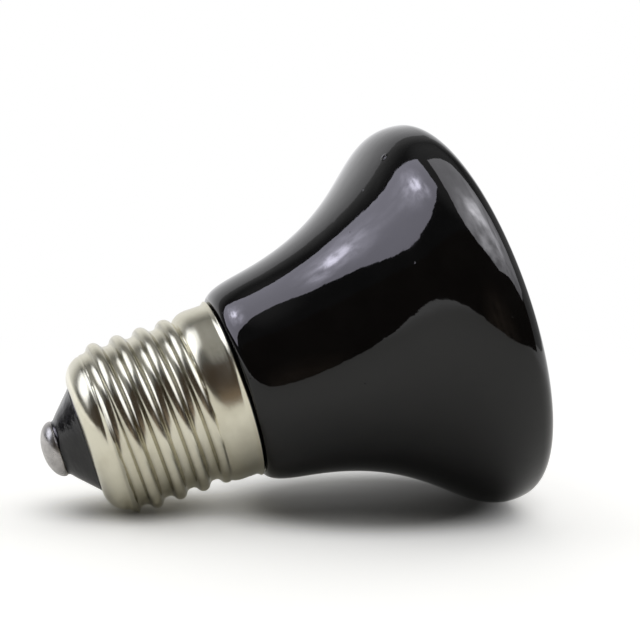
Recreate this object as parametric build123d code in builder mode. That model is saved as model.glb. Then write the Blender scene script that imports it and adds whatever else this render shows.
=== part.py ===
import os
from math import acos, cos, degrees, radians, sin

from build123d import *

# Ceramic heat emitter with an E27 screw cap, lying on its rim and on its thread.
# Millimetres, +Z up. Stations run along the emitter's axis from the lip of the screw shell,
# positive towards the heating face and negative towards the centre contact.

# Resting pose: the axis climbs towards the face, because the rim is wider than the cap
AXIS_TILT = 18.413
LIP_X = -8.802
LIP_Z = 18.186

# Ceramic body
FACE_RADIUS = 97.0          # shallow dome of the heating face
RIM_ROUND = 3.3             # edge between the flank and the face
RIM_STATION = 36.34         # end of the flank, just past its widest point
RIM_RADIUS = 30.36
RIM_ANGLE = -7.8            # slope of the flank where it meets the rim
RIM_PULL = 9.37             # length of the flank curve's handle at the rim
NECK_STATION = 2.75         # end of the neck's rounded shoulder
NECK_RADIUS = 15.72
NECK_ANGLE = 6.53
NECK_PULL = 24.11
SHOULDER_ROUND = 2.45

# Screw shell, rolled from thin sheet
SHEET = 0.41
THREAD_PITCH = 3.629
CREST_RADIUS = 13.15
CREST_ROUND = 1.025
CREST_ARC = 104.0           # part of the round that the crest shows
CORE_RADIUS = 12.11         # shell between the ridges
RIDGE_SUNK = 0.3            # how far the ridge reaches into the core
THREAD_START = -21.34       # station of the first crest, at the top
THREAD_END = -4.0
RUN_IN_STATION = -16.5      # from here to the tip the thread gets lower
RUN_IN_ROUND = 4.25
RUN_IN_TOP = 13.6
SKIRT_START = -5.25
SKIRT_FULL = -2.9           # end of the skirt's soft shoulder
SKIRT_ANGLE = 50.0          # slope at which the shoulder leaves the thread
SKIRT_START_PULL = 0.8
SKIRT_FULL_PULL = 1.3
SKIRT_RADIUS = 13.40
SKIRT_BORE = 12.95
SEAT_STATION = -3.4         # step between the wide skirt and the threaded part
LIP_START = -1.2
LIP_RADIUS = 13.84
TIP_STATION = -23.1
TIP_ROUND = 3.9
TIP_HOLE = 7.95

# Glass insulator and centre contact
GLASS_NECK = -25.8          # from here to the contact the cone is drawn in
GLASS_NECK_RADIUS = 5.12
GLASS_NECK_PULL = 0.8
GLASS_FOOT_RADIUS = 4.1
GLASS_FOOT_PULL = 0.35
GLASS_END = -26.9
CONTACT_RADIUS = 4.2
CONTACT_SIDE = 0.3
CONTACT_DOME = 2.25
CONTACT_ROUND = 1.6

BORE_RADIUS = CORE_RADIUS - SHEET
TIP_BEND = TIP_STATION + TIP_ROUND      # where the shell starts to turn in
TIP_FLAT = CORE_RADIUS - TIP_ROUND      # radius at which it has turned square to the axis
TIP_INSIDE = TIP_ROUND - SHEET
CREST_SLOPE = CREST_ARC / 2

axis_dir = Vector(cos(radians(AXIS_TILT)), 0, sin(radians(AXIS_TILT)))
lip_centre = Vector(LIP_X, 0, LIP_Z)
spin = Axis(lip_centre, axis_dir)
section = Plane(lip_centre, x_dir=axis_dir, z_dir=(0, -1, 0))

# The inside of the shell's turned-in end, which the glass fills: bend, middle, flat, hole
inside_end = [
    (TIP_BEND, BORE_RADIUS),
    (TIP_BEND - TIP_INSIDE * sin(radians(45)), TIP_FLAT + TIP_INSIDE * cos(radians(45))),
    (TIP_STATION + SHEET, TIP_FLAT),
    (TIP_STATION + SHEET, TIP_HOLE),
    (TIP_STATION, TIP_HOLE),
]

os.makedirs("parts", exist_ok=True)

# Ceramic body: one fired and glazed piece, with a stepped spigot that fills the shell
with BuildPart() as ceramic_body:
    with BuildSketch(section):
        with BuildLine():
            neck_end = NECK_STATION + SHOULDER_ROUND * (sin(radians(NECK_ANGLE)) - 1)
            neck_top = NECK_RADIUS - SHOULDER_ROUND * cos(radians(NECK_ANGLE))
            spigot = Polyline(
                (TIP_BEND, 0), (TIP_BEND, BORE_RADIUS), (SEAT_STATION, BORE_RADIUS),
                (SEAT_STATION, SKIRT_BORE), (neck_end, SKIRT_BORE), (neck_end, neck_top))
            shoulder = JernArc(spigot @ 1, (0, 1), SHOULDER_ROUND, NECK_ANGLE - 90)
            rim_slope = Vector(cos(radians(RIM_ANGLE)), sin(radians(RIM_ANGLE)))
            rim_point = Vector(RIM_STATION, RIM_RADIUS)
            flank = Bezier(
                shoulder @ 1, shoulder @ 1 + (shoulder % 1) * NECK_PULL,
                rim_point - rim_slope * RIM_PULL, rim_point)
            # The rim's round ends where it is tangent to a dome centred on the axis
            rim_middle = RIM_RADIUS - RIM_ROUND * cos(radians(RIM_ANGLE))
            face_slope = -degrees(acos(rim_middle / (FACE_RADIUS - RIM_ROUND)))
            rim = JernArc(rim_point, rim_slope, RIM_ROUND, face_slope - RIM_ANGLE)
            face_top = (rim @ 1).X + FACE_RADIUS * (1 + sin(radians(face_slope)))
            face = TangentArc(rim @ 1, (face_top, 0), tangent=rim % 1)
            Line(face @ 1, spigot @ 0)
        make_face()
    revolve(axis=spin)
ceramic_body.part.label = "ceramic_body"
export_step(ceramic_body.part, "parts/ceramic_body.step")

# Screw shell: one rolled cup with a coarse right-handed thread, a plain skirt and a flared lip
with BuildPart() as screw_shell:
    with BuildLine() as thread_path:
        Helix(THREAD_PITCH, THREAD_END - THREAD_START, CORE_RADIUS,
              center=lip_centre + axis_dir * THREAD_START, direction=axis_dir)
    with BuildSketch(Plane(thread_path.line @ 0, x_dir=axis_dir, z_dir=(0, -1, 0))):
        with BuildLine():
            crest_middle = CREST_RADIUS - CREST_ROUND - CORE_RADIUS
            crest = CenterArc((0, crest_middle), CREST_ROUND, 90 - CREST_SLOPE, CREST_ARC)
            fall = (crest @ 0).Y + RIDGE_SUNK
            foot = (crest @ 0).X + fall / sin(radians(CREST_SLOPE)) * cos(radians(CREST_SLOPE))
            Polyline(crest @ 0, (foot, -RIDGE_SUNK), (-foot, -RIDGE_SUNK), crest @ 1)
        make_face()
    sweep(path=thread_path.line, is_frenet=True)
    # Core of the thread, longer than the shell until the next cut
    with BuildSketch(section):
        with BuildLine():
            Polyline((TIP_STATION - 2, 0), (TIP_STATION - 2, CORE_RADIUS), (2, CORE_RADIUS), (2, 0),
                     close=True)
        make_face()
    revolve(axis=spin)
    # Rounded end, where the thread runs in low and rises to its full height
    with BuildSketch(section):
        with BuildLine():
            run_in = CenterArc((RUN_IN_STATION, RUN_IN_TOP - RUN_IN_ROUND), RUN_IN_ROUND, 90, 90)
            Polyline(run_in @ 1, (TIP_BEND, (run_in @ 1).Y), (TIP_BEND, 0), (0, 0), (0, RUN_IN_TOP),
                     run_in @ 0)
        make_face()
        with BuildLine():
            tip = CenterArc((TIP_BEND, TIP_FLAT), TIP_ROUND, 90, 90)
            Polyline(tip @ 1, (TIP_STATION, 0), (TIP_BEND, 0), tip @ 0)
        make_face()
    revolve(axis=spin, mode=Mode.INTERSECT)
    # Plain skirt and flared lip
    with BuildSketch(section):
        with BuildLine():
            foot = Line((SKIRT_START, 0), (SKIRT_START, CORE_RADIUS - 0.1))
            rise = Vector(cos(radians(SKIRT_ANGLE)), sin(radians(SKIRT_ANGLE)))
            shoulder = Bezier(
                foot @ 1, foot @ 1 + rise * SKIRT_START_PULL,
                (SKIRT_FULL - SKIRT_FULL_PULL, SKIRT_RADIUS), (SKIRT_FULL, SKIRT_RADIUS))
            skirt = Line(shoulder @ 1, (LIP_START, SKIRT_RADIUS))
            lip = TangentArc(skirt @ 1, (0, LIP_RADIUS), tangent=(1, 0))
            Polyline(lip @ 1, (0, 0), foot @ 0)
        make_face()
    revolve(axis=spin)
    # Inside of the sheet
    with BuildSketch(section):
        with BuildLine():
            Polyline(
                inside_end, (TIP_STATION, 0), (0, 0), (0, LIP_RADIUS - SHEET),
                (LIP_START + 0.4, SKIRT_BORE), (SEAT_STATION, SKIRT_BORE), (SEAT_STATION, BORE_RADIUS),
                close=True)
        make_face()
    revolve(axis=spin, mode=Mode.SUBTRACT)
screw_shell.part.label = "screw_shell"
export_step(screw_shell.part, "parts/screw_shell.step")

# Black glass insulator: fills the shell's end and stands out of it as a cone
with BuildPart() as glass_insulator:
    with BuildSketch(section):
        with BuildLine():
            cone = Polyline(inside_end, (GLASS_NECK, GLASS_NECK_RADIUS))
            neck = Bezier(
                cone @ 1, cone @ 1 + (cone % 1) * GLASS_NECK_PULL,
                (GLASS_END + GLASS_FOOT_PULL, GLASS_FOOT_RADIUS), (GLASS_END, GLASS_FOOT_RADIUS))
            Polyline(neck @ 1, (GLASS_END, 0), (TIP_BEND, 0), cone @ 0)
        make_face()
    revolve(axis=spin)
glass_insulator.part.label = "glass_insulator"
export_step(glass_insulator.part, "parts/glass_insulator.step")

# Centre contact: a solder dome on the insulator
with BuildPart() as centre_contact:
    with BuildSketch(section):
        with BuildLine():
            side = Line((GLASS_END, CONTACT_RADIUS), (GLASS_END - CONTACT_SIDE, CONTACT_RADIUS))
            # The side's round ends where it is tangent to a cap centred on the axis
            inset = CONTACT_RADIUS - CONTACT_ROUND
            cap_radius = (CONTACT_DOME**2 + inset**2 - CONTACT_ROUND**2) / (
                2 * (CONTACT_DOME - CONTACT_ROUND))
            round_arc = degrees(acos(inset / (cap_radius - CONTACT_ROUND)))
            edge = JernArc(side @ 1, (-1, 0), CONTACT_ROUND, round_arc)
            cap = TangentArc(edge @ 1, (GLASS_END - CONTACT_SIDE - CONTACT_DOME, 0), tangent=edge % 1)
            Polyline(cap @ 1, (GLASS_END, 0), side @ 0)
        make_face()
    revolve(axis=spin)
centre_contact.part.label = "centre_contact"
export_step(centre_contact.part, "parts/centre_contact.step")
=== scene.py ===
from math import acos, cos, degrees, pi, radians, sin, sqrt

import bpy
import numpy as np
from mathutils import Euler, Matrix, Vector


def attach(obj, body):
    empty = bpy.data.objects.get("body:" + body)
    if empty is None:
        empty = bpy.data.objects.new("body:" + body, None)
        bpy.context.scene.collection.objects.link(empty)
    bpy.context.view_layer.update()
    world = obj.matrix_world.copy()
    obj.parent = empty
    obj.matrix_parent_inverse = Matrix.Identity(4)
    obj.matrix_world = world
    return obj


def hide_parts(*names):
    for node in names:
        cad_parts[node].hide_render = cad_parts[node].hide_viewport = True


# Ceramic heat emitter with an E27 screw cap, lying on its rim and on its thread.
# Sizes are millimetres. Stations run along the emitter's axis from the lip of the screw shell,
# positive towards the heating face and negative towards the centre contact. Radii start at the axis.
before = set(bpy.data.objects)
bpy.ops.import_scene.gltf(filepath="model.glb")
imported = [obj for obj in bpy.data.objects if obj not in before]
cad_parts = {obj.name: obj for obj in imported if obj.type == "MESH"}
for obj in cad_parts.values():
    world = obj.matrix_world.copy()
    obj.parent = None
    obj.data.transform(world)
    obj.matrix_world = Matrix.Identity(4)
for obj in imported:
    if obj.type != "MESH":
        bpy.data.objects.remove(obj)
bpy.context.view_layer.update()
MM = 0.001

# Resting pose
AXIS_TILT = radians(18.413)
LIP_CENTRE = Vector((-8.802, 0.0, 18.186)) * MM
LAID_DOWN = Euler((0.0, pi / 2 - AXIS_TILT, 0.0))

# Ceramic body
FACE_RADIUS = 97.0              # shallow dome of the heating face
RIM_ROUND = 3.3
RIM_STATION = 36.34             # end of the flank, just past its widest point
RIM_RADIUS = 30.36
RIM_ANGLE = -7.8                # slope of the flank where it meets the rim
RIM_PULL = 9.37                 # length of the flank curve's handle at the rim
NECK_STATION = 2.75
NECK_RADIUS = 15.72
NECK_ANGLE = 6.53
NECK_PULL = 24.11
NECK_END = 0.24                 # just clear of the shell's lip
NECK_END_RADIUS = 13.0
SHOULDER_END = 7.0              # where the neck's rounded shoulder has run into the flank
SHOULDER_START_PULL = 2.3
SHOULDER_END_PULL = 3.8

# Marks in the glaze: station, turn in degrees, half-width and depth of one open pit and four grains
GLAZE_MARKS = (
    (30.06, 198.3, 0.42, 0.19), (0.97, 255.4, 0.17, -0.05), (15.60, 274.1, 0.17, -0.05),
    (25.74, 200.4, 0.15, -0.04), (21.45, 211.5, 0.14, -0.04))
MARK_CUTS = 9                   # cuts through each face round a mark
MARK_MARGIN = 0.4               # the finer faces reach this far from a mark,
MARK_SPREAD = 2.6               # and this many half-widths more
MARK_REACH = 3.0                # the wall is set true to its curve this far along it,
MARK_UNDER = 4.0                # and this far under it
EDGE_RISE = 0.22                # raised edge of a pit, as a share of its depth
EDGE_WIDTH = 0.35               # width of that edge, as a share of the pit's half-width

# Screw shell, rolled from thin sheet
SHEET = 0.41
CORE_RADIUS = 12.11
BORE_RADIUS = CORE_RADIUS - SHEET
THREAD_PITCH = 3.629
THREAD_START = -21.34           # station of the first crest, at the top
THREAD_ROUND = 1.025            # round of the crests, and of the roots between them
CREST_RADIUS = 13.15
ROOT_RADIUS = 12.06             # least radius of the wall under the thread
ROOT_END = -4.0
ROOT_BLEND = 0.35
RUN_IN_STATION = -16.75         # from here to the tip the thread gets lower
RUN_IN_ROUND = 4.25
RUN_IN_TOP = 13.6
RUN_IN_BLEND = 0.25
THREAD_BLEND = 0.12             # between the thread and the plain wall
OUTSIDE_MARGIN = 0.15           # the rollers reach what lies this far outside the bore,
SEAT_MARGIN = 0.05              # up to this far from the seat
TIP_STATION = -23.1
TIP_ROUND = 3.9
TIP_HOLE = 7.95
HOLE_EDGE = 0.06
TIP_BEND = TIP_STATION + TIP_ROUND      # where the shell starts to turn in
TIP_FLAT = CORE_RADIUS - TIP_ROUND      # radius at which it has turned square to the axis

# Groove between the thread's first low turn and the rounded end, in stations from the bend
GROOVE_TIP_END = -1.4
GROOVE_FLOOR = (-0.6, 0.2)
GROOVE_THREAD_END = 1.0
GROOVE_DEPTH = 0.15

# Radii between which the thread's flanks rise from the roots, and between which they end at the crests; the
# painted shade lies between them
FLANK_FOOT = (12.20, 12.50)
FLANK_TOP = (12.75, 13.05)
FLANK_FADE = 0.8                # length over which the painted shade on the flanks fades out before the skirt
FLANK_SHADE_TONE = 0.62               # brightness left under the painted shade on them

# Skirt and flared lip of the shell
WALL_STEP = 0.11                # between the rings of the wall, fine enough for the thread
WALL_FOOT = (-6.5, 10.5)        # hidden start of the skirt's shoulder, under the thread
SKIRT_START = -5.8
SKIRT_START_RADIUS = 12.0
SKIRT_START_HANDLE = (-5.15, 12.72)
SKIRT_FULL_HANDLE = (-4.5, 13.38)
SKIRT_FULL = -2.9               # end of the skirt's soft shoulder
SKIRT_TAPER = 0.01
SKIRT_RADIUS = 13.40
SKIRT_BORE = 12.95
SEAT_STATION = -3.4             # step between the wide skirt and the threaded part
LIP_START = -1.2
LIP_BEND = -0.75
LIP_BEND_HANDLE = (-0.52, 13.41)
LIP_END_HANDLE = (-0.30, 13.62)
LIP_END = -0.06
LIP_RADIUS = 13.84
LIP_MARGIN = 0.1                # gap between the lip's rounded edge and the first ring of the wall
LIP_EDGE = [(-0.05, 0.38), (0.0, 0.3), (0.0, 0.12), (-0.03, 0.04)]      # station, and depth under the lip
LIP_INSIDE = [(LIP_START + 0.4, SKIRT_BORE + 0.02), (-0.35, LIP_RADIUS - 0.6)]

# Glass insulator
GLASS_EDGE = [(0.02, 0.0), (-0.12, 0.07)]       # station from the tip, and depth under its hole
GLASS_CONE_START = TIP_STATION - 0.25
GLASS_NECK = -25.8              # from here to the contact the cone is drawn in
GLASS_CONE_END = GLASS_NECK + 0.1
GLASS_NECK_RADIUS = 5.12
GLASS_NECK_HANDLE = (-26.35, 4.54)
GLASS_FOOT_RADIUS = 4.1
GLASS_FOOT_PULL = 0.35
GLASS_END = -26.9

# Centre contact
CONTACT_RADIUS = 4.2
CONTACT_FOOT = [(0.0, 3.95), (0.05, 4.08), (0.16, 4.17)]        # height over the glass, and radius
CONTACT_SIDE = 0.3
CONTACT_SIDE_HANDLE = (1.35, 4.22)
CONTACT_TOP_PULL = 2.6
CONTACT_DOME = 2.55


def arc(centre, radius, start, end, count):
    """Points of an arc in the outline's plane, from one angle to another in degrees."""
    turns = np.radians(np.linspace(start, end, count))
    return [(centre[0] + radius * cos(t), centre[1] + radius * sin(t)) for t in turns]


def swept_curve(p0, p1, p2, p3, count):
    """Points of a curve with two handles."""
    t = np.linspace(0, 1, count)[:, None]
    p0, p1, p2, p3 = (np.array(p) for p in (p0, p1, p2, p3))
    points = (1 - t) ** 3 * p0 + 3 * (1 - t) ** 2 * t * p1 + 3 * (1 - t) * t**2 * p2 + t**3 * p3
    return [tuple(p) for p in points]


def turn_on_lathe(name, outline, steps):
    """Draws an outline of (station, radius) points from one point and spins it round the axis."""
    bpy.ops.object.select_all(action="DESELECT")
    bpy.ops.mesh.primitive_plane_add(size=MM)
    piece = bpy.context.object
    piece.name = piece.data.name = name
    bpy.ops.object.mode_set(mode="EDIT")
    bpy.ops.mesh.select_mode(type="VERT")
    bpy.ops.mesh.select_all(action="SELECT")
    bpy.ops.mesh.merge(type="CENTER")
    spots = [Vector((radius, 0.0, station)) * MM for station, radius in outline]
    bpy.ops.transform.translate(value=spots[0])
    for here, there in zip(spots, spots[1:]):
        bpy.ops.mesh.extrude_region_move(TRANSFORM_OT_translate={"value": there - here})
    bpy.ops.mesh.select_all(action="SELECT")
    bpy.ops.mesh.spin(steps=steps, angle=2 * pi, center=(0, 0, 0), axis=(0, 0, 1))
    bpy.ops.mesh.select_all(action="SELECT")
    bpy.ops.mesh.remove_doubles(threshold=0.001 * MM)
    bpy.ops.mesh.normals_make_consistent(inside=False)
    bpy.ops.object.mode_set(mode="OBJECT")
    return piece


def vertex_places(piece):
    """Stations, radii and turns of a piece that still stands on the lathe's axis."""
    spots = np.empty(len(piece.data.vertices) * 3)
    piece.data.vertices.foreach_get("co", spots)
    spots = spots.reshape(-1, 3) / MM
    return spots[:, 2], np.hypot(spots[:, 0], spots[:, 1]), np.arctan2(spots[:, 1], spots[:, 0])


def move_vertices(piece, stations, radii, turns):
    """Puts the vertices of a piece on the lathe's axis at new places."""
    spots = np.column_stack([radii * np.cos(turns), radii * np.sin(turns), stations]) * MM
    piece.data.vertices.foreach_set("co", spots.ravel())
    piece.data.update()


def lay_down(piece, crease_angle):
    """Shades a piece smooth up to a crease and lays it in its resting pose."""
    bpy.ops.object.select_all(action="DESELECT")
    piece.select_set(True)
    bpy.context.view_layer.objects.active = piece
    bpy.ops.object.shade_smooth_by_angle(angle=radians(crease_angle))
    piece.rotation_euler = LAID_DOWN
    piece.location = LIP_CENTRE
    bpy.ops.object.transform_apply(location=True, rotation=True, scale=True)


def smooth_least(a, b, width):
    """The lesser of two values, rounded off where they are less than a width apart."""
    blend = np.clip(0.5 + 0.5 * (b - a) / width, 0, 1)
    return b * (1 - blend) + a * blend - width * blend * (1 - blend)


def smooth_most(a, b, width):
    return -smooth_least(-a, -b, width)


def slope_direction(angle):
    return np.array((cos(radians(angle)), sin(radians(angle))))


def neck_and_flank():
    """The flared wall, and the neck's end, which the glaze rounds off with no visible start."""
    neck = np.array((NECK_STATION, NECK_RADIUS))
    rim = np.array((RIM_STATION, RIM_RADIUS))
    flank = swept_curve(
        neck, neck + NECK_PULL * slope_direction(NECK_ANGLE),
        rim - RIM_PULL * slope_direction(RIM_ANGLE), rim, count=100)
    flank = np.array([p for p in flank if p[0] > SHOULDER_END])
    along = (flank[1] - flank[0]) / np.linalg.norm(flank[1] - flank[0])
    shoulder = swept_curve(
        (NECK_END, NECK_END_RADIUS), (NECK_END, NECK_END_RADIUS + SHOULDER_START_PULL),
        flank[0] - SHOULDER_END_PULL * along, flank[0], count=34)
    return shoulder + [tuple(p) for p in flank[1:]]


def rim_and_face():
    """The rim's round, which ends where it is tangent to a dome centred on the axis, and that dome."""
    rim_middle = (
        RIM_STATION + RIM_ROUND * sin(radians(RIM_ANGLE)),
        RIM_RADIUS - RIM_ROUND * cos(radians(RIM_ANGLE)))
    face_angle = degrees(acos(rim_middle[1] / (FACE_RADIUS - RIM_ROUND)))
    rim = arc(rim_middle, RIM_ROUND, 90 + RIM_ANGLE, 90 - face_angle, count=24)
    face_middle = rim_middle[0] - (FACE_RADIUS - RIM_ROUND) * sin(radians(face_angle))
    face = arc((face_middle, 0.0), FACE_RADIUS, 90 - face_angle, 0, count=28)
    return rim[1:] + face[1:-1] + [(face_middle + FACE_RADIUS, 0.0)]


# The ceramic body, with the spigot that fills the shell
body_wall = neck_and_flank()
spigot = [
    (TIP_BEND, 0.0), (TIP_BEND, BORE_RADIUS), (SEAT_STATION, BORE_RADIUS), (SEAT_STATION, SKIRT_BORE),
    (NECK_END, SKIRT_BORE)]
glazed_body = turn_on_lathe("glazed_body", spigot + body_wall + rim_and_face(), steps=240)


def mark_glaze(piece, station, turn, width, depth):
    """Cuts the wall finer round one spot and presses a small pit into it, or raises a grain."""
    wall = np.array(body_wall)
    turn = radians(turn)
    radius = float(np.interp(station, wall[:, 0], wall[:, 1]))
    slope = np.interp(station, wall[1:, 0], np.diff(wall[:, 1]) / np.diff(wall[:, 0]))
    lean = np.arctan(slope)
    spot = Vector((radius * cos(turn), radius * sin(turn), station)) * MM
    bpy.ops.object.mode_set(mode="EDIT")
    bpy.ops.mesh.select_all(action="DESELECT")
    bpy.ops.mesh.select_mode(type="FACE")
    bpy.ops.object.mode_set(mode="OBJECT")
    for face in piece.data.polygons:
        face.select = (face.center - spot).length < (MARK_MARGIN + MARK_SPREAD * width) * MM
    bpy.ops.object.mode_set(mode="EDIT")
    bpy.ops.mesh.subdivide(number_cuts=MARK_CUTS)
    bpy.ops.object.mode_set(mode="OBJECT")
    stations, radii, turns = vertex_places(piece)
    across = radius * ((turns - turn + pi) % (2 * pi) - pi)
    along = (stations - station) * np.hypot(1, slope)
    away = np.hypot(across, along)
    close = (away < MARK_REACH) & (radii > radius - MARK_UNDER)
    radii = np.where(close, np.interp(stations, wall[:, 0], wall[:, 1]), radii)
    pit = -depth * np.clip(1 - (away / width) ** 2, 0, 1) ** 2
    edge = EDGE_RISE * depth * np.exp(-(((away - width) / (EDGE_WIDTH * width)) ** 2))
    push = np.where(close, pit + edge, 0.0)
    move_vertices(piece, stations - push * np.sin(lean), radii + push * np.cos(lean), turns)


for mark in GLAZE_MARKS:
    mark_glaze(glazed_body, *mark)
lay_down(glazed_body, crease_angle=40)


def shell_wall(stations):
    """Radius of the shell's plain wall: root of the thread, soft shoulder, skirt and flared lip."""
    shoulder = swept_curve(
        (SKIRT_START, SKIRT_START_RADIUS), SKIRT_START_HANDLE, SKIRT_FULL_HANDLE,
        (SKIRT_FULL, SKIRT_RADIUS - SKIRT_TAPER), count=40)
    lip = swept_curve(
        (LIP_BEND, SKIRT_RADIUS), LIP_BEND_HANDLE, LIP_END_HANDLE, (LIP_END, LIP_RADIUS), count=20)
    wall = np.interp(stations, *np.transpose([WALL_FOOT] + shoulder + lip))
    return smooth_most(wall, np.where(stations < ROOT_END, ROOT_RADIUS, 0.0), ROOT_BLEND)


def rolled_wave(stations, turns):
    """Radius of the rolled thread: equal rounds for crest and root, right-handed."""
    half = THREAD_PITCH / 2
    crest = THREAD_START + THREAD_PITCH * (turns - pi) / (2 * pi)
    away = np.abs((stations - crest + half) % THREAD_PITCH - half)
    crest_middle = CREST_RADIUS - THREAD_ROUND
    root_middle = crest_middle + sqrt(4 * THREAD_ROUND**2 - half**2)
    on_crest = crest_middle + np.sqrt(np.maximum(THREAD_ROUND**2 - away**2, 0))
    in_root = root_middle - np.sqrt(np.maximum(THREAD_ROUND**2 - (half - away) ** 2, 0))
    return np.where(away < half / 2, on_crest, in_root)


def rounded_end(stations):
    """Radius of the shell's rounded end, with the groove that sets off the first turn of the thread."""
    bend = np.minimum(stations - TIP_BEND, 0)
    groove = np.interp(
        stations - TIP_BEND, (GROOVE_TIP_END, *GROOVE_FLOOR, GROOVE_THREAD_END),
        (0.0, GROOVE_DEPTH, GROOVE_DEPTH, CORE_RADIUS - ROOT_RADIUS))
    return TIP_FLAT + np.sqrt(np.maximum(TIP_ROUND**2 - bend**2, 0)) - groove


def roll_thread(shell):
    """Rolls the thread into the plain wall, low at the tip and then at its full height."""
    stations, radii, turns = vertex_places(shell)
    reach = np.minimum(stations - RUN_IN_STATION, 0)
    run_in = RUN_IN_TOP - RUN_IN_ROUND + np.sqrt(np.maximum(RUN_IN_ROUND**2 - reach**2, 0))
    thread = smooth_least(rolled_wave(stations, turns), run_in, RUN_IN_BLEND)
    at_end = stations < TIP_BEND + GROOVE_THREAD_END
    wall = np.where(at_end, rounded_end(stations), shell_wall(stations))
    rolled = smooth_most(thread, wall, THREAD_BLEND)
    outside = radii > BORE_RADIUS + OUTSIDE_MARGIN
    reached = (stations > TIP_BEND + GROOVE_TIP_END) & (stations < SEAT_STATION - SEAT_MARGIN)
    move_vertices(shell, stations, np.where(outside & reached, rolled, radii), turns)


# The screw shell: outside from the lip to the tip, then back along the inside
lip_edge = [(station, LIP_RADIUS - depth) for station, depth in LIP_EDGE]
outer_stations = np.concatenate(
    [np.linspace(-LIP_MARGIN, LIP_START, 18), np.arange(LIP_START - LIP_MARGIN, TIP_BEND, -WALL_STEP)])
outer = [(station, float(shell_wall(station))) for station in outer_stations]
tip_outside = arc((TIP_BEND, TIP_FLAT), TIP_ROUND, 90, 180, count=40)
hole = [
    (TIP_STATION, TIP_HOLE + HOLE_EDGE), (TIP_STATION + HOLE_EDGE, TIP_HOLE),
    (TIP_STATION + SHEET, TIP_HOLE), (TIP_STATION + SHEET, TIP_FLAT)]
tip_inside = arc((TIP_BEND, TIP_FLAT), TIP_ROUND - SHEET, 180, 90, count=12)
bore = [(SEAT_STATION, BORE_RADIUS), (SEAT_STATION, SKIRT_BORE)] + LIP_INSIDE
screw_shell = turn_on_lathe(
    "rolled_shell", lip_edge + outer + tip_outside + hole + tip_inside[1:] + bore + lip_edge[:1], steps=192)
roll_thread(screw_shell)
lay_down(screw_shell, crease_angle=50)

# The glass cone, drawn in where the solder sits on it
cone_slope = (TIP_HOLE - GLASS_NECK_RADIUS) / (TIP_STATION - GLASS_NECK)
cone_stations = np.linspace(GLASS_CONE_START, GLASS_CONE_END, 12)
glass_outline = [(TIP_BEND, 0.0)] + tip_inside[::-1] + [(TIP_STATION + SHEET, TIP_HOLE)]
glass_outline += [(TIP_STATION + along, TIP_HOLE - depth) for along, depth in GLASS_EDGE]
glass_outline += [(station, TIP_HOLE + (station - TIP_STATION) * cone_slope) for station in cone_stations]
glass_outline += swept_curve(
    (GLASS_NECK, GLASS_NECK_RADIUS), GLASS_NECK_HANDLE, (GLASS_END + GLASS_FOOT_PULL, GLASS_FOOT_RADIUS),
    (GLASS_END, GLASS_FOOT_RADIUS), count=12)
glass_cone = turn_on_lathe("glass_cone", glass_outline + [(GLASS_END, 0.0)], steps=128)
lay_down(glass_cone, crease_angle=50)

# The solder dome, with a rounded foot
dome = [(0.0, 0.0)] + CONTACT_FOOT + swept_curve(
    (CONTACT_SIDE, CONTACT_RADIUS), CONTACT_SIDE_HANDLE, (CONTACT_DOME, CONTACT_TOP_PULL),
    (CONTACT_DOME, 0.0), count=26)
dome_outline = [(GLASS_END - height, radius) for height, radius in dome]
solder_dome = turn_on_lathe("solder_dome", dome_outline, steps=96)
lay_down(solder_dome, crease_angle=50)


def new_finish(name, **sockets):
    """A material, and its shader with the plain values that some of its inputs have."""
    material = bpy.data.materials.new(name)
    material.use_nodes = True
    shader = material.node_tree.nodes["Principled BSDF"]
    for socket, value in sockets.items():
        shader.inputs[socket.replace("_", " ")].default_value = value
    return material, shader


def add_node(tree, kind, inputs=None, **settings):
    """Adds a node whose inputs are numbers or the outputs of other nodes."""
    node = tree.nodes.new(kind)
    for name, value in settings.items():
        setattr(node, name, value)
    for socket, value in (inputs or {}).items():
        if isinstance(value, bpy.types.NodeSocket):
            tree.links.new(value, node.inputs[socket])
        else:
            node.inputs[socket].default_value = value
    return node


def object_places(tree):
    return add_node(tree, "ShaderNodeTexCoord").outputs["Object"]


def axis_places(tree, stretch=(1.0, 1.0, 1.0)):
    """Object coordinates turned so that Z runs along the emitter's axis."""
    turned = add_node(tree, "ShaderNodeMapping", {
        "Vector": object_places(tree), "Location": LIP_CENTRE, "Rotation": LAID_DOWN,
        "Scale": stretch}, vector_type="TEXTURE")
    return turned.outputs["Vector"]


def noise(tree, places, scale, detail=2.0, roughness=0.5):
    """A noise whose scale is about the number of its patches in a metre."""
    node = add_node(tree, "ShaderNodeTexNoise", {
        "Vector": places, "Scale": scale, "Detail": detail, "Roughness": roughness})
    return node.outputs["Fac"]


def between(tree, value, low, high, start=0.3, end=0.7, interpolation_type="LINEAR"):
    """Goes from low to high while a value, such as a noise, goes from start to end."""
    node = add_node(tree, "ShaderNodeMapRange", {
        "Value": value, "From Min": start, "From Max": end, "To Min": low, "To Max": high},
        interpolation_type=interpolation_type)
    return node.outputs["Result"]


def soft_step(tree, value, low, high, start, end):
    return between(tree, value, low, high, start, end, interpolation_type="SMOOTHSTEP")


def maths(tree, operation, first, second):
    return add_node(tree, "ShaderNodeMath", {0: first, 1: second}, operation=operation).outputs[0]


def bump(tree, height, depth, under=None):
    """The normal of a relief as deep as given, laid over another one where that is named."""
    inputs = {"Height": height, "Distance": depth * MM, "Strength": 1.0}
    if under is not None:
        inputs["Normal"] = under
    return add_node(tree, "ShaderNodeBump", inputs).outputs["Normal"]


def colours(tree, value, stops):
    """A ramp of two or more colours, each at its place."""
    node = add_node(tree, "ShaderNodeValToRGB", {"Fac": value})
    ramp = node.color_ramp
    for place, _ in stops[2:]:
        ramp.elements.new(place)
    for element, (place, colour) in zip(ramp.elements, stops):
        element.position = place
        element.color = (*colour, 1.0)
    return node.outputs["Color"]


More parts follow.
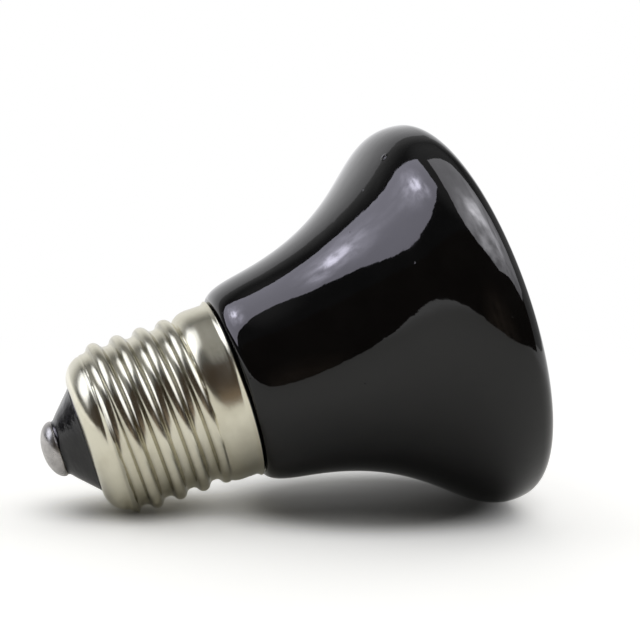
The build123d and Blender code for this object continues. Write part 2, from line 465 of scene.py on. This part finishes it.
def black_glaze():
    material, shader = new_finish("black_glaze", IOR=1.5)
    tree = material.node_tree
    link = tree.links.new
    places = axis_places(tree)
    mottle = noise(tree, places, scale=260, detail=3)
    link(colours(tree, mottle, [(0.35, (0.0024, 0.0024, 0.0026)), (0.7, (0.0040, 0.0039, 0.0041))]),
         shader.inputs["Base Color"])
    haze = noise(tree, places, scale=55, detail=4, roughness=0.6)
    link(between(tree, haze, 0.028, 0.06), shader.inputs["Roughness"])
    runs = noise(tree, axis_places(tree, stretch=(1.0, 1.0, 1.7)), scale=330, detail=1.5)
    flow = bump(tree, runs, depth=0.026)
    peel = bump(tree, noise(tree, places, scale=900), depth=0.005, under=flow)
    holes = add_node(tree, "ShaderNodeTexVoronoi", {"Vector": places, "Scale": 170.0, "Randomness": 1.0})
    pits = between(tree, holes.outputs["Distance"], 0.0, 1.0, start=0.0, end=0.032)
    link(bump(tree, pits, depth=0.04, under=peel), shader.inputs["Normal"])
    return material


def flank_shade_mask(tree):
    """Mask of the painted shade: one on the thread's steep flanks, and none on its crests and roots and on
    the skirt.
    """
    flat = axis_places(tree, stretch=(1.0, 1.0, 1000.0))
    radius = add_node(tree, "ShaderNodeVectorMath", {0: flat}, operation="LENGTH").outputs["Value"]
    above_root = between(tree, radius, 0.0, 1.0, FLANK_FOOT[0] * MM, FLANK_FOOT[1] * MM)
    below_crest = between(tree, radius, 1.0, 0.0, FLANK_TOP[0] * MM, FLANK_TOP[1] * MM)
    along = add_node(tree, "ShaderNodeSeparateXYZ", {"Vector": axis_places(tree)}).outputs["Z"]
    off_skirt = between(tree, along, 1.0, 0.0, (SKIRT_START - FLANK_FADE) * MM, SKIRT_START * MM)
    return maths(tree, "MULTIPLY", maths(tree, "MULTIPLY", above_root, below_crest), off_skirt)


def nickel_plate():
    material, shader = new_finish("nickel_plate", Metallic=1.0)
    tree = material.node_tree
    link = tree.links.new
    places = axis_places(tree)
    stain = noise(tree, places, scale=130, detail=5, roughness=0.62)
    plate = colours(tree, stain, [
        (0.30, (0.77, 0.73, 0.585)), (0.5, (0.885, 0.85, 0.70)), (0.72, (0.92, 0.885, 0.75))])
    # Painted shade: the plating's colour is darkened on the thread's flanks, standing in for the dark that
    # the valleys mirror
    painted_flank_shade = between(tree, flank_shade_mask(tree), 1.0, FLANK_SHADE_TONE, start=0.0, end=1.0)
    flank_shaded_plate = add_node(tree, "ShaderNodeVectorMath", {0: plate, "Scale": painted_flank_shade}, operation="SCALE")
    link(flank_shaded_plate.outputs["Vector"], shader.inputs["Base Color"])
    cloud = noise(tree, places, scale=420, detail=3)
    link(between(tree, cloud, 0.17, 0.25), shader.inputs["Roughness"])
    rolled = noise(tree, axis_places(tree, stretch=(1.0, 1.0, 0.03)), scale=55, detail=3, roughness=0.6)
    lines = bump(tree, rolled, depth=0.012)
    grain = bump(tree, noise(tree, places, scale=2600), depth=0.0035, under=lines)
    link(grain, shader.inputs["Normal"])
    return material


def black_glass():
    material, shader = new_finish("black_glass_cone", IOR=1.52)
    tree = material.node_tree
    link = tree.links.new
    places = axis_places(tree)
    link(colours(tree, noise(tree, places, scale=300, detail=3), [
        (0.3, (0.004, 0.004, 0.005)), (0.75, (0.011, 0.010, 0.012))]), shader.inputs["Base Color"])
    haze = noise(tree, places, scale=420, detail=4, roughness=0.6)
    link(between(tree, haze, 0.07, 0.26), shader.inputs["Roughness"])
    chill = noise(tree, axis_places(tree, stretch=(1.0, 1.0, 0.45)), scale=420, detail=4, roughness=0.6)
    link(bump(tree, chill, depth=0.1), shader.inputs["Normal"])
    return material


def grey_solder():
    material, shader = new_finish("grey_solder", Metallic=1.0)
    tree = material.node_tree
    link = tree.links.new
    places = axis_places(tree)
    link(colours(tree, noise(tree, places, scale=500, detail=4, roughness=0.6), [
        (0.3, (0.44, 0.425, 0.42)), (0.75, (0.70, 0.675, 0.66))]), shader.inputs["Base Color"])
    link(between(tree, noise(tree, places, scale=900, detail=3), 0.24, 0.40), shader.inputs["Roughness"])
    link(bump(tree, noise(tree, places, scale=700, detail=3), depth=0.04), shader.inputs["Normal"])
    return material


for piece, node, slot, finish in (
        (glazed_body, "ceramic_body", "glaze", black_glaze()),
        (screw_shell, "screw_shell", "plated_shell", nickel_plate()),
        (glass_cone, "glass_insulator", "black_glass", black_glass()),
        (solder_dome, "centre_contact", "solder", grey_solder())):
    piece.data.materials.clear()
    piece.data.materials.append(finish)
    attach(piece, "root")
    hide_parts(node)


# Studio: panels that the object mirrors, a dark card behind the camera, three lamps, a pale floor that
# turns white further off, and a white backdrop. X runs along the object, Y away from the camera, Z up.

# Left panel, which leans over the object: corners as (across, height), spots with a strength and a width
LEFT_PANEL_FOOT = -480
LEFT_PANEL_LEAN = 0.69
LEFT_PANEL = [(-40, 110), (-55, 200), (-78, 300), (-80, 350), (-60, 435), (150, 472), (170, 400), (205, 300),
              (190, 110)]
LEFT_SPOTS = [(57, 314, 8.0, 52), (64, 305, 3.2, 125), (-10, 335, 2.0, 60)]
LEFT_SPOTS_DIM = [(50, 230, 1.1, 240)]

# Level top panel: corners as (x, y), spots with a strength and a width
TOP_PANEL_HEIGHT = 150
TOP_PANEL = [(-5, 13), (-16, -44), (-23, -78), (-18, -106), (0, -140), (77, -207), (235, -485), (465, -700),
             (332, -98), (168, -37), (73, -7), (26, 13)]
TOP_SPOTS = [(39, -72, 7.0, 34), (60, -105, 2.5, 110), (90, -130, 1.2, 220)]
TOP_SPOTS_DIM = [(20, -60, 1.0, 330)]

# The dim panels lie just behind the bright ones, the top one a little to the right
DIM_PANEL_AWAY = 10
DIM_PANEL_ASIDE = 15
BACK_PANEL_AWAY = 900
BACK_PANEL_RADIUS = 960
DARK_CARD_Y = -206
DARK_CARD = [(-1500, 0), (500, 0), (500, 260), (-1500, 260)]
DARK_CARD_SPOT = ((0, DARK_CARD_Y, 0), 0.14, 120)

VIOLET_WHITE = (0.86, 0.84, 1.0)
COOL_WHITE = (0.95, 0.94, 1.0)
BLUE_WHITE = (0.95, 0.98, 1.1)
SKY_WHITE = (1.0, 1.0, 1.05)
BROWN = (1.0, 0.76, 0.58)


def distance_to(tree, spot, stretch=1.0):
    """Distance from a spot, that counts less along X where a stretch is given."""
    squash = Vector((1.0 / stretch, 1.0, 1.0))
    places = add_node(
        tree, "ShaderNodeVectorMath", {0: object_places(tree), 1: squash}, operation="MULTIPLY")
    node = add_node(tree, "ShaderNodeVectorMath", {
        0: places.outputs["Vector"], 1: Vector(spot) * squash * MM}, operation="DISTANCE")
    return node.outputs["Value"]


def glowing_panel(name, corners, strength, tint, bright_spots=()):
    """A panel that is mirrored in the object. A bright spot on it is a place, a strength and a width."""
    bpy.ops.object.select_all(action="DESELECT")
    bpy.ops.mesh.primitive_circle_add(vertices=len(corners), radius=1.0, fill_type="NGON")
    panel = bpy.context.object
    panel.name = panel.data.name = name
    for vertex, corner in zip(panel.data.vertices, corners):
        vertex.co = Vector(corner) * MM
    material = bpy.data.materials.new(name)
    material.use_nodes = True
    tree = material.node_tree
    tree.nodes.clear()
    glow = strength
    for place, extra, width in bright_spots:
        spot = soft_step(tree, distance_to(tree, place), extra, 0.0, 0.0, width * MM)
        patchy = between(tree, noise(tree, object_places(tree), scale=30), 0.35, 1.65)
        glow = maths(tree, "ADD", glow, maths(tree, "MULTIPLY", spot, patchy))
    light = add_node(tree, "ShaderNodeEmission", {"Color": (*tint, 1.0), "Strength": glow})
    add_node(tree, "ShaderNodeOutputMaterial", {"Surface": light.outputs[0]})
    panel.data.materials.append(material)
    panel.visible_camera = False
    panel.visible_diffuse = False
    panel.visible_shadow = False
    return panel


def soft_panel(name, pieces, corners, strength, tint, bright_spots=()):
    """A glowing panel that only some pieces mirror, and that is clear for the others."""
    panel = glowing_panel(name, corners, strength, tint, bright_spots)
    mirrors = bpy.data.collections.new(name)
    for piece in pieces:
        mirrors.objects.link(piece)
    panel.light_linking.receiver_collection = mirrors
    tree = panel.active_material.node_tree
    clear = add_node(tree, "ShaderNodeBsdfTransparent")
    both = add_node(tree, "ShaderNodeAddShader", {0: tree.nodes["Emission"].outputs[0], 1: clear.outputs[0]})
    tree.links.new(both.outputs[0], tree.nodes["Material Output"].inputs["Surface"])


def soft_lamp(name, place, power, width):
    """A square lamp that points at the floor under the object's middle and isn't mirrored."""
    bpy.ops.object.select_all(action="DESELECT")
    bpy.ops.object.light_add(type="AREA", location=Vector(place) * MM)
    lamp = bpy.context.object
    lamp.name = lamp.data.name = name
    lamp.rotation_euler = (-Vector(place)).to_track_quat("-Z", "Y").to_euler()
    lamp.data.energy = power
    lamp.data.size = width * MM
    lamp.visible_glossy = False


def left_place(across, height, away):
    return (LEFT_PANEL_FOOT + LEFT_PANEL_LEAN * height - away, across, height)


def left_corners(away=0):
    return [left_place(across, height, away) for across, height in LEFT_PANEL]


def left_glow(spots, away=0):
    return [(left_place(across, height, away), extra, width) for across, height, extra, width in spots]


def top_corners(away=0, aside=0):
    return [(x + aside, y, TOP_PANEL_HEIGHT + away) for x, y in TOP_PANEL]


def top_glow(spots, away=0):
    return [((x, y, TOP_PANEL_HEIGHT + away), extra, width) for x, y, extra, width in spots]


# Bare metal mirrors so much more than glaze that it gets the dim panels
glossy = (glazed_body, glass_cone)
metal = (screw_shell, solder_dome)
back_corners = [
    (x, BACK_PANEL_AWAY, z) for x, z in arc((0, 0), BACK_PANEL_RADIUS, 0, 180, count=40)]
dark_corners = [(x, DARK_CARD_Y, z) for x, z in DARK_CARD]
soft_panel("left_panel", glossy, left_corners(), strength=3.1, tint=VIOLET_WHITE,
           bright_spots=left_glow(LEFT_SPOTS))
soft_panel("top_panel", glossy, top_corners(), strength=1.6, tint=COOL_WHITE,
           bright_spots=top_glow(TOP_SPOTS))
soft_panel("back_panel", glossy, back_corners, strength=0.4, tint=SKY_WHITE)
soft_panel("left_panel_dim", metal, left_corners(DIM_PANEL_AWAY), strength=0.85, tint=BLUE_WHITE,
           bright_spots=left_glow(LEFT_SPOTS_DIM, DIM_PANEL_AWAY))
soft_panel("top_panel_dim", metal, top_corners(DIM_PANEL_AWAY, DIM_PANEL_ASIDE), strength=0.35,
           tint=BLUE_WHITE, bright_spots=top_glow(TOP_SPOTS_DIM, DIM_PANEL_AWAY))
glowing_panel("dark_card", dark_corners, strength=0.04, tint=BROWN, bright_spots=[DARK_CARD_SPOT])

soft_lamp("left_lamp", (-300, 20, 380), power=0.35, width=300)
soft_lamp("right_lamp", (320, 20, 340), power=0.45, width=300)
soft_lamp("top_lamp", (0, 20, 450), power=1.8, width=750)

# The floor is lifted to white for the camera, except on two spots round the body and the cap, which are left
# unlifted as a painted shadow over the shadow that the lamps cast
FLOOR_RADIUS = 4000
FLOOR_DROP = 0.1                # clears the first turns of the dressed thread
FLOOR_COLOUR = (0.80, 0.795, 0.77)
FLOOR_LIFT = 0.38
BODY_SHADOW = (14, 0, 0)
BODY_SHADOW_STRETCH = 1.35
BODY_SHADOW_EDGE = (12, 23)
CAP_SHADOW = (-22, 2, 0)
CAP_SHADOW_STRETCH = 1.6
CAP_SHADOW_EDGE = (3, 13)
PALE_MIDDLE = (0, -110, 0)
PALE_EDGE = (100, 300)


def seen_rays(tree, mirrored=False):
    """One for rays from the camera and refracted ones, and for mirrored ones where they count too."""
    path = add_node(tree, "ShaderNodeLightPath").outputs
    seen = maths(tree, "MAXIMUM", path["Is Camera Ray"], path["Is Transmission Ray"])
    if mirrored:
        seen = maths(tree, "MAXIMUM", seen, path["Is Glossy Ray"])
    return seen


def away_from(tree, spot, edge, high, stretch=1.0):
    """None on a spot of the floor, and rising softly to a high value across the spot's edge."""
    return soft_step(tree, distance_to(tree, spot, stretch), 0.0, high, edge[0] * MM, edge[1] * MM)


def pale_floor():
    material, matt = new_finish(
        "pale_floor", Base_Color=(*FLOOR_COLOUR, 1.0), Roughness=0.9, Specular_IOR_Level=0.2,
        Emission_Color=(1.0, 1.0, 1.0, 1.0))
    tree = material.node_tree
    # Painted shadow: the lift is held off two stretched spots under the body and the cap, so they stay
    # darker than the floor round them
    outside_painted_body_shadow = away_from(tree, BODY_SHADOW, BODY_SHADOW_EDGE, FLOOR_LIFT, BODY_SHADOW_STRETCH)
    outside_painted_cap_shadow = away_from(tree, CAP_SHADOW, CAP_SHADOW_EDGE, 1.0, CAP_SHADOW_STRETCH)
    lift = maths(tree, "MULTIPLY", seen_rays(tree), maths(tree, "MULTIPLY", outside_painted_body_shadow, outside_painted_cap_shadow))
    tree.links.new(lift, matt.inputs["Emission Strength"])
    white = add_node(tree, "ShaderNodeEmission")
    far = away_from(tree, PALE_MIDDLE, PALE_EDGE, 1.0)
    whitened = maths(tree, "MULTIPLY", seen_rays(tree, mirrored=True), far)
    fade = add_node(tree, "ShaderNodeMixShader", {0: whitened, 1: matt.outputs[0], 2: white.outputs[0]})
    tree.links.new(fade.outputs[0], tree.nodes["Material Output"].inputs["Surface"])
    return material


bpy.ops.object.select_all(action="DESELECT")
bpy.ops.mesh.primitive_circle_add(
    vertices=64, radius=FLOOR_RADIUS * MM, fill_type="NGON", location=(0.0, 0.0, -FLOOR_DROP * MM))
floor = bpy.context.object
floor.name = "pale_floor"
bpy.ops.object.transform_apply(location=True)
floor.data.materials.append(pale_floor())

# All white for the camera. Other rays find a bright back, a dimmer right wall and ceiling, and a dark
# room elsewhere.
ROOM_DARK = 0.05
world = bpy.data.worlds.new("studio")
bpy.context.scene.world = world
world.use_nodes = True
tree = world.node_tree
places = add_node(tree, "ShaderNodeTexCoord").outputs["Generated"]
facing = add_node(tree, "ShaderNodeSeparateXYZ", {"Vector": places}).outputs
backdrop = soft_step(tree, facing["Y"], ROOM_DARK, 0.80, start=0.46, end=0.98)
ceiling = soft_step(tree, facing["Z"], ROOM_DARK, 0.24, start=0.72, end=0.93)
right_wall = soft_step(tree, facing["X"], ROOM_DARK, 0.35, start=0.45, end=0.95)
room = maths(tree, "MAXIMUM", backdrop, maths(tree, "MAXIMUM", ceiling, right_wall))
background = tree.nodes["Background"]
background.inputs["Color"].default_value = (1.0, 1.0, 1.0, 1.0)
tree.links.new(maths(tree, "MAXIMUM", seen_rays(tree), room), background.inputs["Strength"])

# Camera at the photograph's view, fitted to its outlines, with the focal length in pixels
PHOTO_WIDTH = 640
PHOTO_FOCAL_LENGTH = 1300
SENSOR_WIDTH = 36.0
CAMERA_PLACE = Vector((-46.197, -190.659, 52.129)) * MM
CAMERA_TURN = (radians(83.1845), radians(-1.6930), radians(-14.7280))
bpy.ops.object.camera_add(location=CAMERA_PLACE, rotation=CAMERA_TURN)
camera = bpy.context.object
camera.data.sensor_width = SENSOR_WIDTH
camera.data.lens = PHOTO_FOCAL_LENGTH / PHOTO_WIDTH * SENSOR_WIDTH
camera.data.clip_start = 10 * MM
bpy.context.scene.camera = camera
bpy.context.scene.view_settings.view_transform = "Standard"
